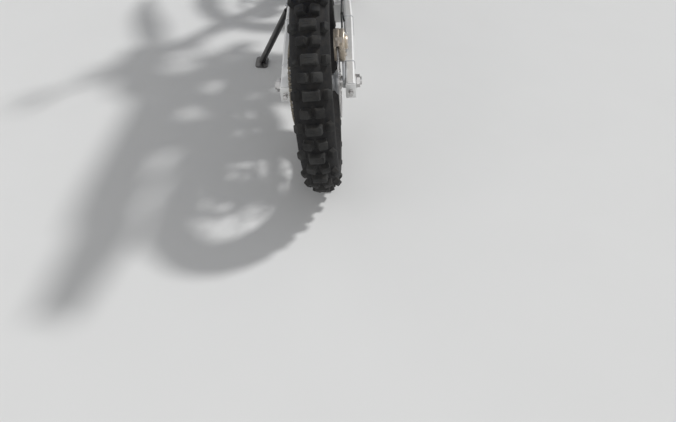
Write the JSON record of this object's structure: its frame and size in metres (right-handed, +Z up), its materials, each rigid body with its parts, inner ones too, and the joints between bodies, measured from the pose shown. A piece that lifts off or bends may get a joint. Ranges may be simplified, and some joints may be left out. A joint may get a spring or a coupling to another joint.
{
  "type": "cross-country dirt bike",
  "caption": "Cross-country dirt bike parked on its side stand: knobbly spoked wheels, long-travel fork, aluminium swingarm, chain drive, single-cylinder engine.",
  "frame": {"origin": "on the floor, under the middle of the parked bike's own box", "axes": "+Y forward along the bike, +X to its right, +Z up; the bike leans left onto its stand"},
  "size_m": [0.6934, 2.1018, 1.4207],
  "materials": {
    "bare_aluminium": "brushed and lacquered",
    "black_plastic": "moulded, matt",
    "black_rim": "black anodised",
    "black_steel": "satin black",
    "body_plastic": "moulded, light gloss",
    "bronze_caliper": "hard anodised",
    "cast_aluminium": "fine cast",
    "chain_steel": "oiled",
    "chrome": "polished",
    "dark_cover": "satin black coat",
    "frame_coat": "satin",
    "hose_rubber": "smooth sheath",
    "seat_cover": "ribbed vinyl over foam",
    "soft_rubber": "matt moulded rubber",
    "spoke_steel": "plated",
    "spring_coat": "powder coat",
    "steel": "ground",
    "tank_plastic": "moulded, matt",
    "tyre_rubber": "knobbly rubber",
    "white_plastic": "moulded, light gloss"
  },
  "bodies": {
    "chassis": {"frame": "frame_coat", "subframe": "frame_coat", "swingarm": "bare_aluminium", "rear_axle": "steel", "chain": "chain_steel", "drive_sprocket": "steel", "chain_guide": "black_plastic", "rear_caliper": "bronze_caliper", "engine_cases": "cast_aluminium", "engine_covers": "dark_cover", "cylinder": "cast_aluminium", "skid_plate": "bare_aluminium", "exhaust_header": "steel", "silencer": "bare_aluminium", "radiators": "cast_aluminium", "fuel_tank": "tank_plastic", "seat": "seat_cover", "shrouds": "body_plastic", "side_panels": "white_plastic", "rear_fender": "body_plastic", "airbox": "black_plastic", "intake": "soft_rubber", "radiator_hose": "soft_rubber", "shock": "cast_aluminium", "shock_linkage": "cast_aluminium", "shock_spring": "spring_coat", "foot_pegs": "steel", "foot_controls": "cast_aluminium", "rear_brake_hose": "hose_rubber"},
    "rear_wheel": {"rear_tyre": "tyre_rubber", "rear_rim": "black_rim", "rear_spokes": "spoke_steel", "rear_hub": "cast_aluminium", "rear_disc": "steel", "rear_sprocket": "bare_aluminium"},
    "steering": {"fork_tubes": "bare_aluminium", "fork_sliders": "chrome", "front_axle": "steel", "fork_guards": "white_plastic", "triple_clamps": "cast_aluminium", "handlebar": "dark_cover", "grips": "soft_rubber", "levers": "bare_aluminium", "front_fender": "body_plastic", "number_plate": "white_plastic", "front_caliper": "bronze_caliper", "front_brake_hose": "hose_rubber"},
    "front_wheel": {"front_tyre": "tyre_rubber", "front_rim": "black_rim", "front_spokes": "spoke_steel", "front_hub": "cast_aluminium", "front_disc": "steel"},
    "side_stand": {"side_stand": "black_steel"}
  },
  "joints": [
    {"name": "rear_wheel_spin", "type": "hinge", "parent": "chassis", "child": "rear_wheel", "pos_m": [0.11584, -0.71054, 0.34063], "axis": [0.9925, 0.001, 0.1219], "continuous": true},
    {"name": "steering_turn", "type": "hinge", "parent": "chassis", "child": "steering", "pos_m": [0.03541, 0.3851, 0.98703], "axis": [-0.1086, -0.447, 0.8879], "range_deg": [-84, 0]},
    {"name": "front_wheel_spin", "type": "hinge", "parent": "steering", "child": "front_wheel", "pos_m": [0.07878, 0.76168, 0.32593], "axis": [0.7006, 0.5993, 0.3873], "continuous": true},
    {"name": "side_stand_fold", "type": "hinge", "parent": "chassis", "child": "side_stand", "pos_m": [-0.00861, -0.12072, 0.31563], "axis": [-0.9024, 0.1441, 0.4061], "range_deg": [0, 108.99]}
  ]
}
